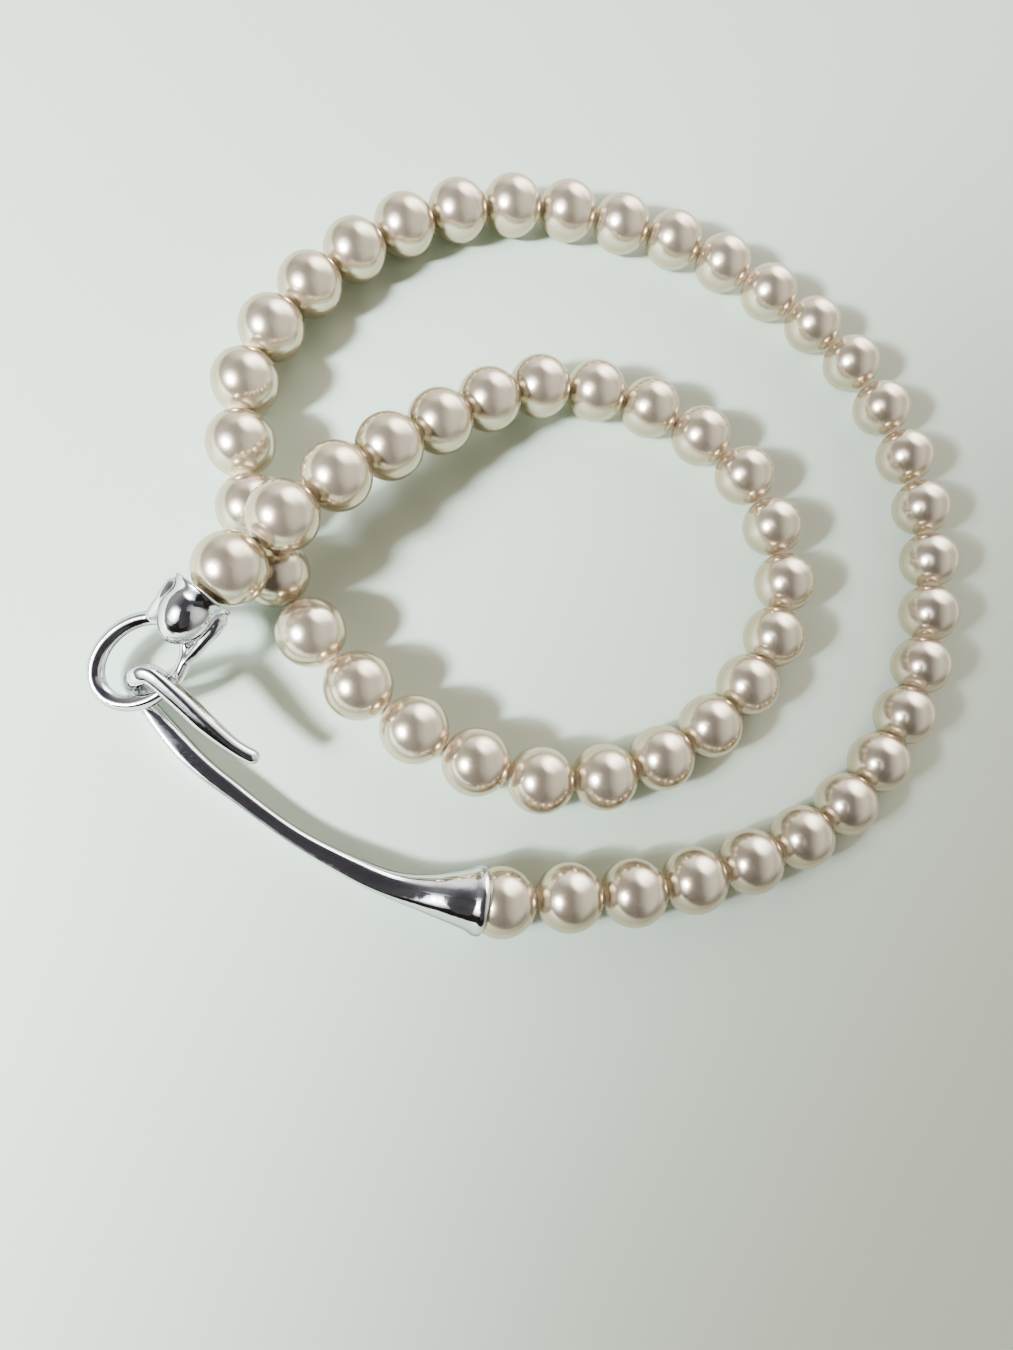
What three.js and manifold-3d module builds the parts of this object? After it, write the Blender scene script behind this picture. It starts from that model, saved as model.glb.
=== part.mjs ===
// A shell pearl necklace lying on a table, fastened, in one large loop that runs on into a small one.
// Round drilled pearls on a thread run from the cup of a long silver hook to a silver ring cap, and
// the hook's short arm reaches back over the ring. Millimetres, +Z up, the table's top at z = 0.
import * as THREE from 'three';
import Module from 'manifold-3d';
import { mergeVertices } from 'three/addons/utils/BufferGeometryUtils.js';

const wasm = await Module();
wasm.setup();

// ---- Driving dimensions ----

const PEARL_COUNT = 55;
const PEARL_RADIUS = 4;
const PEARL_PITCH = 8.155; // from one pearl's centre to the next, measured straight
const BORE_RADIUS = 0.6;
const THREAD_RADIUS = 0.2;
const SEAT_GAP = 0.28; // between a pearl and the cup that holds it
const THREAD_INSET = 0.1; // from a pearl's surface to where the thread starts inside its bore

// The pearls that are joined in threes along their thread; all the others are single.
const FIRST_JOINED = 11;
const LAST_JOINED = 25;
const JOINED_LENGTH = 3;

// Facets
const PEARL_SIDES = 12;
const PEARL_BANDS = 6; // from one end of the bore to the other, an even count
const JOINED_SIDES = 8;
const THREAD_SIDES = 6; // a full circle has two sides for each curve segment
const WALK_STEPS = 20000; // fine steps along the route, on which the pearls are set out
const SPINE_STEPS = 60; // frames along a bent piece

// The line through the pearls' centres, from the hook round the large loop, round the small loop
// and up over the large loop to the ring cap.
const ROUTE = [
  { x: -14.1, y: -46.7, z: 4 },
  { x: 9.5, y: -46, z: 4 },
  { x: 32.5, y: -38, z: 4 },
  { x: 48.5, y: -19.5, z: 4 },
  { x: 53.5, y: 4.5, z: 4 },
  { x: 45.5, y: 27.5, z: 4 },
  { x: 26.5, y: 41.5, z: 4 },
  { x: 10.5, y: 46, z: 4 },
  { x: -6, y: 46.5, z: 4 },
  { x: -21.5, y: 41, z: 4 },
  { x: -34, y: 30.5, z: 4 },
  { x: -42, y: 16.5, z: 4 },
  { x: -41.5, y: 0, z: 4 },
  { x: -35, y: -15, z: 4 },
  { x: -23.5, y: -26.5, z: 4 },
  { x: -8.5, y: -33, z: 4 },
  { x: 7, y: -31, z: 4 },
  { x: 20.5, y: -22, z: 4 },
  { x: 28.5, y: -8, z: 4 },
  { x: 25, y: 7.5, z: 4 },
  { x: 12, y: 17, z: 4 },
  { x: -4.5, y: 18.5, z: 5 },
  { x: -19, y: 11, z: 7.5 },
  { x: -32, y: 1.5, z: 10.5 },
  { x: -38, y: -4, z: 11.5 },
  { x: -43.5, y: -10, z: 11 },
  { x: -49, y: -16, z: 10 },
];

// The hook's centre line, from the cup's rim along the stem, round the bend and along the arm.
const HOOK_SPINE = [
  { x: -16.4, y: -46.3, z: 4 },
  { x: -19.4, y: -45.8, z: 3.9 },
  { x: -22.3, y: -45.2, z: 3.3 },
  { x: -26.2, y: -44, z: 2.6 },
  { x: -30.3, y: -42, z: 2.2 },
  { x: -36.7, y: -38.1, z: 1.7 },
  { x: -43.1, y: -33, z: 1.5 },
  { x: -47.6, y: -29, z: 1.3 },
  { x: -52.1, y: -23.5, z: 1.1 },
  { x: -53.5, y: -21.5, z: 2.1 },
  { x: -53.6, y: -21, z: 4.6 },
  { x: -52.8, y: -20.9, z: 6.9 },
  { x: -51.4, y: -21.1, z: 7.8 },
  { x: -48.8, y: -23.4, z: 7.7 },
  { x: -46, y: -26.2, z: 7.3 },
  { x: -43.1, y: -28.7, z: 6.9 },
  { x: -40.7, y: -30.1, z: 6.6 },
];

// The hook's outer radius at distances along its centre line from the cup's rim.
const HOOK_TAPER = [
  { along: 0.4, radius: 3.9 },
  { along: 2.6, radius: 3.15 },
  { along: 5.4, radius: 2.35 },
  { along: 8, radius: 1.8 },
  { along: 11, radius: 1.45 },
  { along: 15, radius: 1.22 },
  { along: 20, radius: 0.98 },
  { along: 26, radius: 0.88 },
  { along: 32, radius: 0.98 },
  { along: 38, radius: 1.1 },
  { along: 44, radius: 1 },
  { along: 46, radius: 0.95 },
  { along: 54, radius: 1.05 },
  { along: 60, radius: 1 },
  { along: 64.5, radius: 0.8 },
];
const HOOK_SIDES = 12;
const HOOK_BAND = 2.4; // the length of a band of facets on the stem and the arm
const HOOK_BEND = { start: 44, end: 55, band: 1.1 }; // shorter bands round the bend
const HOOK_CUP = {
  rimToPearl: 2.35, // from the rim's plane to the first pearl's centre
  lipInset: 0.1, // from the rim's plane to the edge of the pearl's seat
  bands: 4,
};
// The rounded end of the arm: shares of its last radius at distances before its very end.
const HOOK_TIP = [
  { before: 0.48, share: 0.9 },
  { before: 0.12, share: 0.6 },
  { before: 0, share: 0 },
];
const HOOK_TIP_LENGTH = 0.8;

// The ring cap: a domed cap with an oval ring on it and a leg on each side. The rim of its mouth
// stands a little way off the last pearl. Headings and drops are in degrees: the way something
// points over the table, turning left from +X, and how steeply it points down.
const CAP = { heading: -129, drop: 12, sides: 14 };
const RIM_FROM_PEARL = { heading: -135, drop: 12, distance: 3.6 }; // centre to centre
const CAP_MOUTH = [
  { radius: 0, along: 0.72 },
  { radius: 2.3, along: 0.68 },
  { radius: 3, along: 0.2 },
  { radius: 3.15, along: 0 },
];
const CAP_OUTSIDE = [
  { radius: 3.45, along: 0.12 },
  { radius: 3.3, along: 0.5 },
  { radius: 3.05, along: 1.4 },
  { radius: 2.9, along: 2.6 },
  { radius: 2.88, along: 3.7 },
  { radius: 2.6, along: 4.7 },
  { radius: 1.9, along: 5.7 },
  { radius: 1.05, along: 6.3 },
  { radius: 0, along: 6.55 },
];
const RING = {
  centre: { x: -52.8, y: -18.9, z: 5.3 },
  heading: -146,
  drop: 25,
  halfLength: 5.47, // of the wire's centre line
  halfWidth: 4.03,
  thickWire: 0.92, // the wire's radius where it is thickest, at an angle from the far end
  thinWire: 0.64,
  thickAngle: -20,
  steps: 26,
  wireSides: 8,
};
// Each leg leaves the cap's side, passes a waist and meets the ring at an angle from the ring's
// near end. Across the cap, the minus side is the left seen from the pearl.
const LEG_TAPER = [
  { share: 0, radius: 0 },
  { share: 0.02, radius: 0.5 },
  { share: 0.12, radius: 0.76 },
  { share: 0.5, radius: 0.74 },
  { share: 0.85, radius: 0.66 },
  { share: 0.97, radius: 0.5 },
  { share: 1, radius: 0 },
];
const LEGS = [
  { hand: -1, topAcross: 3, waistAlong: 2.8, waistAcross: 3.1, ringAngle: 70 },
  { hand: 1, topAcross: 3.1, waistAlong: 2.8, waistAcross: 3.15, ringAngle: 50 },
];
const LEG_TOP_ALONG = 0.6;

// ---- Helpers ----

const UP = new THREE.Vector3(0, 0, 1);
const point = ({ x, y, z }) => new THREE.Vector3(x, y, z);
const smoothCurve = (rows) => new THREE.CatmullRomCurve3(rows.map(point), false, 'catmullrom', 0.5);

/** A closed geometry as a manifold solid. */
function toSolid(geometry) {
  const bare = geometry.clone();
  bare.deleteAttribute('normal');
  bare.deleteAttribute('uv');
  const merged = mergeVertices(bare);
  const corners = merged.index.array;
  const triangles = [];
  for (let i = 0; i < corners.length; i += 3) {
    const [a, b, c] = corners.slice(i, i + 3);
    if (a !== b && b !== c && c !== a) triangles.push(a, b, c);
  }
  const vertProperties = new Float32Array(merged.attributes.position.array);
  const mesh = new wasm.Mesh({ numProp: 3, vertProperties, triVerts: new Uint32Array(triangles) });
  return new wasm.Manifold(mesh);
}

/** A manifold solid as a three.js geometry. */
function toGeometry(solid) {
  const mesh = solid.getMesh();
  const geometry = new THREE.BufferGeometry();
  geometry.setAttribute('position', new THREE.BufferAttribute(mesh.vertProperties, 3));
  geometry.setIndex(new THREE.BufferAttribute(mesh.triVerts, 1));
  geometry.computeVertexNormals();
  return geometry;
}

/** Bends a geometry made round the Y axis, so that y runs in millimetres along the curve. */
function bendAlong(geometry, curve) {
  const length = curve.getLength();
  const frames = curve.computeFrenetFrames(SPINE_STEPS, false);
  const positions = geometry.attributes.position;
  const vertex = new THREE.Vector3();
  for (let i = 0; i < positions.count; i++) {
    vertex.fromBufferAttribute(positions, i);
    const place = THREE.MathUtils.clamp(vertex.y / length, 0, 1);
    const station = Math.min(Math.floor(place * SPINE_STEPS), SPINE_STEPS - 1);
    const blend = place * SPINE_STEPS - station;
    const between = (list) => list[station].clone().lerp(list[station + 1], blend).normalize();
    const overrun = vertex.y - place * length;
    const moved = curve.getPointAt(place);
    moved.addScaledVector(between(frames.binormals), vertex.x);
    moved.addScaledVector(between(frames.tangents), overrun);
    moved.addScaledVector(between(frames.normals), vertex.z);
    positions.setXYZ(i, moved.x, moved.y, moved.z);
  }
  return geometry;
}

/** The move that turns +Y to point along a direction, from a place. */
function standing(direction, place) {
  const side = new THREE.Vector3().crossVectors(direction, UP).normalize();
  const up = new THREE.Vector3().crossVectors(side, direction);
  return new THREE.Matrix4().makeBasis(side, direction, up).setPosition(place);
}

/** The direction with a heading over the table and a downward drop. */
function pointing({ heading, drop }) {
  const turn = THREE.MathUtils.degToRad(heading);
  const fall = THREE.MathUtils.degToRad(drop);
  const flat = Math.cos(fall);
  return new THREE.Vector3(Math.cos(turn) * flat, Math.sin(turn) * flat, -Math.sin(fall));
}

// ---- Pearls and thread ----

/** The pearls' centres: a walk along the route that sets a pearl down at each pitch. */
function pearlCentres() {
  const route = smoothCurve(ROUTE);
  const centres = [route.getPoint(0)];
  for (let step = 1; centres.length < PEARL_COUNT; step++) {
    const next = route.getPoint(step / WALK_STEPS);
    next.z = Math.max(next.z, PEARL_RADIUS);
    if (next.distanceTo(centres.at(-1)) >= PEARL_PITCH) centres.push(next);
  }
  return centres;
}

/** The way each pearl's bore points: from the pearl before it to the pearl after it. */
function boreDirections(centres) {
  return centres.map((centre, i) => {
    const before = centres[Math.max(i - 1, 0)];
    const after = centres[Math.min(i + 1, centres.length - 1)];
    return after.clone().sub(before).normalize();
  });
}

/** A pearl with its bore along Y. */
function drilledPearl() {
  const openAngle = Math.asin(BORE_RADIUS / PEARL_RADIUS);
  const profile = [];
  for (let i = 0; i <= PEARL_BANDS; i++) {
    const angle = openAngle + ((Math.PI - 2 * openAngle) * i) / PEARL_BANDS;
    profile.push(new THREE.Vector2(Math.sin(angle), -Math.cos(angle)).multiplyScalar(PEARL_RADIUS));
  }
  profile.push(profile[0].clone());
  return new THREE.LatheGeometry(profile, PEARL_SIDES);
}

/** A pearl with no bore, round Y, for the joined ones. */
function plainPearl() {
  const profile = [];
  for (let i = 0; i <= PEARL_BANDS; i++) {
    const angle = (Math.PI * i) / PEARL_BANDS;
    profile.push(new THREE.Vector2(Math.sin(angle), -Math.cos(angle)).multiplyScalar(PEARL_RADIUS));
  }
  profile[0].x = 0;
  profile[PEARL_BANDS].x = 0;
  return new THREE.LatheGeometry(profile, JOINED_SIDES);
}

/** A curve whose steps fall on its own points and not at equal lengths. */
class StationCurve extends THREE.CatmullRomCurve3 {
  getUtoTmapping(u) {
    return u;
  }
}

/** The thread through pearls first to last, straight inside each bore. */
function thread(centres, directions, first, last) {
  const reach = PEARL_RADIUS - THREAD_INSET;
  const stations = [];
  for (let i = first - 1; i < last; i++) {
    stations.push(centres[i].clone().addScaledVector(directions[i], -reach));
    stations.push(centres[i].clone().addScaledVector(directions[i], reach));
  }
  const path = new StationCurve(stations, false, 'catmullrom', 0.5);
  const section = new THREE.Shape().absarc(0, 0, THREAD_RADIUS, 0, 2 * Math.PI);
  return new THREE.ExtrudeGeometry(section, {
    steps: stations.length - 1,
    curveSegments: THREAD_SIDES / 2,
    extrudePath: path,
  });
}

/** Pearls first to last as one solid along their thread. */
function joinedPearls(centres, directions, first, last) {
  let solid = toSolid(thread(centres, directions, first, last));
  for (let i = first - 1; i < last; i++) {
    solid = solid.add(toSolid(plainPearl().applyMatrix4(standing(directions[i], centres[i]))));
  }
  return toGeometry(solid);
}

// ---- Clasp ----

/** The hook's outer radius at a distance along it, from its table. */
function hookRadius(along) {
  const next = HOOK_TAPER.findIndex((row) => row.along > along);
  if (next === -1) return HOOK_TAPER.at(-1).radius;
  const [from, to] = [HOOK_TAPER[Math.max(next - 1, 0)], HOOK_TAPER[next]];
  return THREE.MathUtils.mapLinear(along, from.along, to.along, from.radius, to.radius);
}

/** The inside of the hook's cup: a seat round the first pearl, then the top of the rim at y = 0. */
function cupProfile() {
  const { rimToPearl, lipInset, bands } = HOOK_CUP;
  const seatRadius = PEARL_RADIUS + SEAT_GAP;
  const steepest = Math.acos((rimToPearl + lipInset) / seatRadius);
  const profile = [];
  for (let i = 0; i <= bands; i++) {
    const angle = (steepest * i) / bands;
    const along = Math.cos(angle) * seatRadius - rimToPearl;
    profile.push(new THREE.Vector2(Math.sin(angle) * seatRadius, along));
  }
  const rimMiddle = (profile[bands].x + HOOK_TAPER[0].radius) / 2;
  profile.push(new THREE.Vector2(rimMiddle, 0));
  return profile;
}

/** The hook: one lathe profile with a cup at its start, bent along the hook's centre line. */
function hook() {
  const spine = smoothCurve(HOOK_SPINE);
  const length = spine.getLength();
  const profile = cupProfile();
  let along = HOOK_TAPER[0].along;
  while (along < length - HOOK_TIP_LENGTH) {
    profile.push(new THREE.Vector2(hookRadius(along), along));
    const inBend = along >= HOOK_BEND.start && along < HOOK_BEND.end;
    along += inBend ? HOOK_BEND.band : HOOK_BAND;
  }
  for (const { before, share } of HOOK_TIP) {
    profile.push(new THREE.Vector2(HOOK_TAPER.at(-1).radius * share, length - before));
  }
  return bendAlong(new THREE.LatheGeometry(profile, HOOK_SIDES), spine);
}

/** The cap's body round Y, with the mouth's rim at y = 0 and the dome's end on the axis. */
function capBody() {
  const rows = [...CAP_MOUTH, ...CAP_OUTSIDE];
  const profile = rows.map(({ radius, along }) => new THREE.Vector2(radius, along));
  return new THREE.LatheGeometry(profile, CAP.sides);
}

/** The oval ring in its own plane, x along it and y across it, its wire thinner on one side. */
function ovalRing() {
  const { halfLength, halfWidth, thickWire, thinWire, thickAngle, wireSides, steps } = RING;
  const ring = new THREE.TorusGeometry(halfWidth, 1, wireSides, steps);
  const positions = ring.attributes.position;
  const thickest = THREE.MathUtils.degToRad(thickAngle);
  for (let i = 0; i < positions.count; i++) {
    const x = positions.getX(i);
    const y = positions.getY(i);
    const angle = Math.atan2(y, x);
    const share = (1 + Math.cos(angle - thickest)) / 2;
    const wire = THREE.MathUtils.lerp(thinWire, thickWire, share);
    const offset = (Math.hypot(x, y) - halfWidth) * wire;
    const moved = new THREE.Vector2(Math.cos(angle) * halfWidth, Math.sin(angle) * halfLength);
    moved.normalize().multiplyScalar(offset);
    moved.x += Math.cos(angle) * halfLength;
    moved.y += Math.sin(angle) * halfWidth;
    positions.setXYZ(i, moved.x, moved.y, positions.getZ(i) * wire);
  }
  return ring;
}

/** The ring cap, held against the last pearl. */
function ringCap(lastPearl) {
  const axis = pointing(CAP);
  const toRim = pointing(RIM_FROM_PEARL);
  const rim = lastPearl.clone().addScaledVector(toRim, RIM_FROM_PEARL.distance);
  let solid = toSolid(capBody().applyMatrix4(standing(axis, rim)));

  const along = pointing(RING);
  const across = new THREE.Vector3().crossVectors(UP, along).normalize();
  const through = new THREE.Vector3().crossVectors(along, across);
  const centre = point(RING.centre);
  const inPlace = new THREE.Matrix4().makeBasis(along, across, through).setPosition(centre);
  solid = solid.add(toSolid(ovalRing().applyMatrix4(inPlace)));

  const capSide = new THREE.Vector3().crossVectors(UP, axis).normalize();
  const besideAxis = (distance, sideways) =>
    rim.clone().addScaledVector(axis, distance).addScaledVector(capSide, sideways);
  for (const { hand, topAcross, waistAlong, waistAcross, ringAngle } of LEGS) {
    const angle = THREE.MathUtils.degToRad(ringAngle);
    const shoulder = centre.clone().addScaledVector(along, -RING.halfLength * Math.cos(angle));
    shoulder.addScaledVector(across, hand * RING.halfWidth * Math.sin(angle));
    const top = besideAxis(LEG_TOP_ALONG, hand * topAcross);
    const waist = besideAxis(waistAlong, hand * waistAcross);
    const path = new THREE.CatmullRomCurve3([top, waist, shoulder]);
    const length = path.getLength();
    const profile = LEG_TAPER.map(({ share, radius }) => new THREE.Vector2(radius, share * length));
    const leg = bendAlong(new THREE.LatheGeometry(profile, RING.wireSides), path);
    solid = solid.add(toSolid(leg));
  }
  return toGeometry(solid);
}

// ---- Looks: each piece has a material of its own ----

const PEARL_LOOK = { color: 0xefe6dc, roughness: 0.18, metalness: 0.1 };
const SILVER_LOOK = { color: 0xd4d6d8, roughness: 0.08, metalness: 1 };
const THREAD_LOOK = { color: 0xe6dcc8, roughness: 0.7, metalness: 0 };

// ---- The necklace ----

const laid = new THREE.Group();

function addPiece(name, geometry, look) {
  const mesh = new THREE.Mesh(geometry, new THREE.MeshStandardMaterial(look));
  mesh.name = name;
  laid.add(mesh);
  return mesh;
}

const twoDigits = (number) => String(number).padStart(2, '0');
const centres = pearlCentres();
const directions = boreDirections(centres);

for (let number = 1; number <= PEARL_COUNT; number++) {
  if (number >= FIRST_JOINED && number <= LAST_JOINED) continue;
  const mesh = addPiece(`pearl_${twoDigits(number)}`, drilledPearl(), PEARL_LOOK);
  mesh.applyMatrix4(standing(directions[number - 1], centres[number - 1]));
}
for (let first = FIRST_JOINED; first <= LAST_JOINED; first += JOINED_LENGTH) {
  const last = first + JOINED_LENGTH - 1;
  addPiece(`pearls_${first}_${last}`, joinedPearls(centres, directions, first, last), PEARL_LOOK);
}
addPiece('thread_hook_side', thread(centres, directions, 1, FIRST_JOINED - 1), THREAD_LOOK);
addPiece('thread_cap_side', thread(centres, directions, LAST_JOINED + 1, PEARL_COUNT), THREAD_LOOK);
addPiece('hook', hook(), SILVER_LOOK);
addPiece('ring_cap', ringCap(centres.at(-1)), SILVER_LOOK);

// The origin is under the middle of the necklace, on the table.
const box = new THREE.Box3().setFromObject(laid, true);
const middle = box.getCenter(new THREE.Vector3());
laid.position.set(-middle.x, -middle.y, -box.min.z);

const necklace = new THREE.Group();
necklace.name = 'shell_pearl_necklace';
necklace.add(laid);

export default necklace;
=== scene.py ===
# %% [markdown]
# # A shell pearl necklace, laid on a table
#
# The model of the necklace already exists as plain, faceted solids: fifty-five pearls, the thread,
# a long hook and a ring cap. This lesson dresses them: smooth pearls with a nacre finish, polished
# silver for the clasp, a table, a camera and soft light. Blender counts in metres, and so does the
# frame of the plain model. Lengths of jewellery are easier to read in millimetres, so the tables of
# points and radii below are in millimetres and are scaled when a mesh is made.

# %% Load the frame
import math

import bmesh
import bpy
from mathutils import Matrix, Vector


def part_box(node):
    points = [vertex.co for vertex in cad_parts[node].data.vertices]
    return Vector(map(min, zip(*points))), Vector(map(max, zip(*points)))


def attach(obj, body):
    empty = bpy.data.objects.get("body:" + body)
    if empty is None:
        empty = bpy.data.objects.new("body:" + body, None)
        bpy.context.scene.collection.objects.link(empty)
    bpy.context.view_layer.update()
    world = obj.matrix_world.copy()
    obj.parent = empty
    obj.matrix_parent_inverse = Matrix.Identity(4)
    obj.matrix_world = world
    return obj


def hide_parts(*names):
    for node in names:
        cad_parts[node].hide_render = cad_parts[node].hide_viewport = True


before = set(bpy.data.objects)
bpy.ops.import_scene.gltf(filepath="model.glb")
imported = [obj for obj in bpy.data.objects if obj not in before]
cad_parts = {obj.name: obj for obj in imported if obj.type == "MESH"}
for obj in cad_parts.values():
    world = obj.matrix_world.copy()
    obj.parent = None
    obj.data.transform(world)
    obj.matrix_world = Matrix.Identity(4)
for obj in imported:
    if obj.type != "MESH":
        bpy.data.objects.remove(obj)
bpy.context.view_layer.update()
MM = 0.001
UP = Vector((0, 0, 1))
print("plain model:", len(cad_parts), "nodes")

# %% [markdown]
# ## Where everything lies
#
# The pearls are threaded at equal distances along one smooth line. The plain model was set out by
# walking along that line and dropping a pearl at each pitch, so this script walks the same line to
# find the same centres. The plain balls' boxes would give most of them, but not the centres of the
# balls that are joined in threes. The line is a Catmull-Rom curve: it passes through every point in
# its list, and between two points it is a cubic whose slope at each end follows the neighbours. The
# hook's middle is a line of the same kind.

# %% The lines of the string and of the hook
ROUTE = [
    (-14.1, -46.7, 4), (9.5, -46, 4), (32.5, -38, 4), (48.5, -19.5, 4), (53.5, 4.5, 4),
    (45.5, 27.5, 4), (26.5, 41.5, 4), (10.5, 46, 4), (-6, 46.5, 4), (-21.5, 41, 4),
    (-34, 30.5, 4), (-42, 16.5, 4), (-41.5, 0, 4), (-35, -15, 4), (-23.5, -26.5, 4),
    (-8.5, -33, 4), (7, -31, 4), (20.5, -22, 4), (28.5, -8, 4), (25, 7.5, 4), (12, 17, 4),
    (-4.5, 18.5, 5), (-19, 11, 7.5), (-32, 1.5, 10.5), (-38, -4, 11.5), (-43.5, -10, 11),
    (-49, -16, 10),
]
HOOK_SPINE = [
    (-16.4, -46.3, 4), (-19.4, -45.8, 3.9), (-22.3, -45.2, 3.3), (-26.2, -44, 2.6),
    (-30.3, -42, 2.2), (-36.7, -38.1, 1.7), (-43.1, -33, 1.5), (-47.6, -29, 1.3),
    (-52.1, -23.5, 1.1), (-53.5, -21.5, 2.1), (-53.6, -21, 4.6), (-52.8, -20.9, 6.9),
    (-51.4, -21.1, 7.8), (-48.8, -23.4, 7.7), (-46, -26.2, 7.3), (-43.1, -28.7, 6.9),
    (-40.7, -30.1, 6.6),
]
MIDDLE = Vector((0.4498, -0.0772, 0))  # from the lines' own origin to the model's, in millimetres


def curve_point(points, t):
    """The point at share t of a Catmull-Rom curve through the points."""
    place = t * (len(points) - 1)
    i = min(int(place), len(points) - 2)
    s = place - i
    b, c = points[i], points[i + 1]
    a = points[i - 1] if i > 0 else 2 * b - c
    d = points[i + 2] if i + 2 < len(points) else 2 * c - b
    slope_b, slope_c = (c - a) / 2, (d - b) / 2
    square, cube = s * s, s * s * s
    return (
        b * (2 * cube - 3 * square + 1)
        + slope_b * (cube - 2 * square + s)
        + c * (3 * square - 2 * cube)
        + slope_c * (cube - square)
    )


# %% The pearls' centres
PEARL_COUNT = 55
PEARL_RADIUS = 4.0
PEARL_PITCH = 8.155
WALK_STEPS = 20000


def pearl_centres():
    """The pearls' centres, a pitch apart along the string's line."""
    route = [Vector(p) for p in ROUTE]
    found = [route[0]]
    step = 0
    while len(found) < PEARL_COUNT:
        step += 1
        there = curve_point(route, step / WALK_STEPS)
        there.z = max(there.z, PEARL_RADIUS)
        if (there - found[-1]).length >= PEARL_PITCH:
            found.append(there)
    return [(there + MIDDLE) * MM for there in found]


# A pearl's bore points from the pearl before it to the one after it.
centres = pearl_centres()
bores = []
for i in range(PEARL_COUNT):
    before, after = centres[max(i - 1, 0)], centres[min(i + 1, PEARL_COUNT - 1)]
    bores.append((after - before).normalized())
low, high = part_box("pearl_01")
print("pearl_01 is off by", round(((low + high) / 2 - centres[0]).length / MM, 3), "mm")

# %% [markdown]
# ## The camera
#
# The camera stands close above the necklace's near left part, and looks down across it, away and to
# the right. So near, perspective is strong: the pearls at the left look larger than those at the
# right, though all are one size. The up direction is given too, because the camera is rolled a
# little.

# %% Camera
CAMERA_PLACE = Vector((-0.04155, -0.04308, 0.10472))
CAMERA_FORWARD = Vector((0.2805, 0.2121, -0.9361))
CAMERA_UP = Vector((0.0, 0.9753, 0.2210))
SENSOR_HEIGHT = 36
FOCAL_LENGTH = 23.75
NEAREST_SEEN = 0.005


def looking(forward, up):
    """The rotation that turns a camera or a lamp to look along forward."""
    back = -forward.normalized()
    right = up.cross(back).normalized()
    return Matrix((right, back.cross(right), back)).transposed()


camera_data = bpy.data.cameras.new("camera")
camera_data.sensor_fit = "VERTICAL"
camera_data.sensor_height = SENSOR_HEIGHT
camera_data.lens = FOCAL_LENGTH
camera_data.clip_start = NEAREST_SEEN
camera = bpy.data.objects.new("camera", camera_data)
bpy.context.scene.collection.objects.link(camera)
camera_turn = looking(CAMERA_FORWARD, CAMERA_UP).to_4x4()
camera.matrix_world = Matrix.Translation(CAMERA_PLACE) @ camera_turn
bpy.context.scene.camera = camera
print("camera height:", round(CAMERA_PLACE.z / MM), "mm above the table")

# %% [markdown]
# ## Helpers for pieces and materials
#
# A bmesh is Blender's editable mesh. Each piece is made in one, turned into an object that sits at
# the origin with its place in the mesh, and hung under the frame's root, and the plain part that it
# replaces is hidden. The material helpers add a node with its values in one line, turn a value into
# colours with a colour ramp, and mix two colours.

# %% Helper for pieces


def finish_piece(bm, name, material, node):
    """A bmesh as a smooth object that stands for a plain node."""
    mesh = bpy.data.meshes.new(name)
    bm.to_mesh(mesh)
    bm.free()
    mesh.shade_smooth()
    mesh.materials.append(material)
    piece = bpy.data.objects.new(name, mesh)
    bpy.context.scene.collection.objects.link(piece)
    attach(piece, "root")
    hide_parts(node)
    return piece


# %% Helpers for materials
BLACK, WHITE = (0, 0, 0), (1, 1, 1)
MIX_FACTOR, MIX_FIRST, MIX_SECOND, MIX_RESULT = 0, 6, 7, 2  # the Mix node's sockets for colours


def grey(value):
    """A grey, or a plain value for a ramp to give."""
    return (value, value, value)


def new_material(name):
    """A node material with its node tree and its Principled shader."""
    material = bpy.data.materials.new(name)
    material.use_nodes = True
    tree = material.node_tree
    return material, tree, tree.nodes["Principled BSDF"]


def add_node(tree, kind, **settings):
    """A node of a kind, with its settings and, after in_, the values of its inputs."""
    node = tree.nodes.new(kind)
    for name, value in settings.items():
        if name.startswith("in_"):
            node.inputs[name[3:].replace("_", " ")].default_value = value
        else:
            setattr(node, name, value)
    return node


def ramp(tree, source, stops):
    """A colour ramp fed by a socket, from (place, colour) stops."""
    node = tree.nodes.new("ShaderNodeValToRGB")
    elements = node.color_ramp.elements
    elements.remove(elements[1])
    elements[0].position = stops[0][0]
    elements[0].color = (*stops[0][1], 1)
    for place, colour in stops[1:]:
        elements.new(place).color = (*colour, 1)
    tree.links.new(source, node.inputs["Fac"])
    return node.outputs["Color"]


def blend_colours(tree, factor, first, second, mode="MIX"):
    """Two colours mixed by a factor, each a socket or a plain value."""
    node = tree.nodes.new("ShaderNodeMix")
    node.data_type = "RGBA"
    node.blend_type = mode
    sockets = [node.inputs[MIX_FACTOR], node.inputs[MIX_FIRST], node.inputs[MIX_SECOND]]
    for socket, value in zip(sockets, (factor, first, second)):
        if isinstance(value, bpy.types.NodeSocket):
            tree.links.new(value, socket)
        else:
            socket.default_value = value if isinstance(value, float) else (*value, 1)
    return node.outputs[MIX_RESULT]


def multiply_colours(tree, first, second):
    """Two colours multiplied."""
    return blend_colours(tree, 1.0, first, second, "MULTIPLY")


# %% [markdown]
# ## Fine relief
#
# Neither nacre nor hand-polished silver is perfectly even. Both need a little noise that tilts the
# normal, each at its own scale and strength, so the noise and its bump are one node group that
# every material can place with its own values. The group gives the noise as a height too, so that
# a colour or a roughness can follow the same pattern. Its Normal input takes the layer under it.

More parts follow.
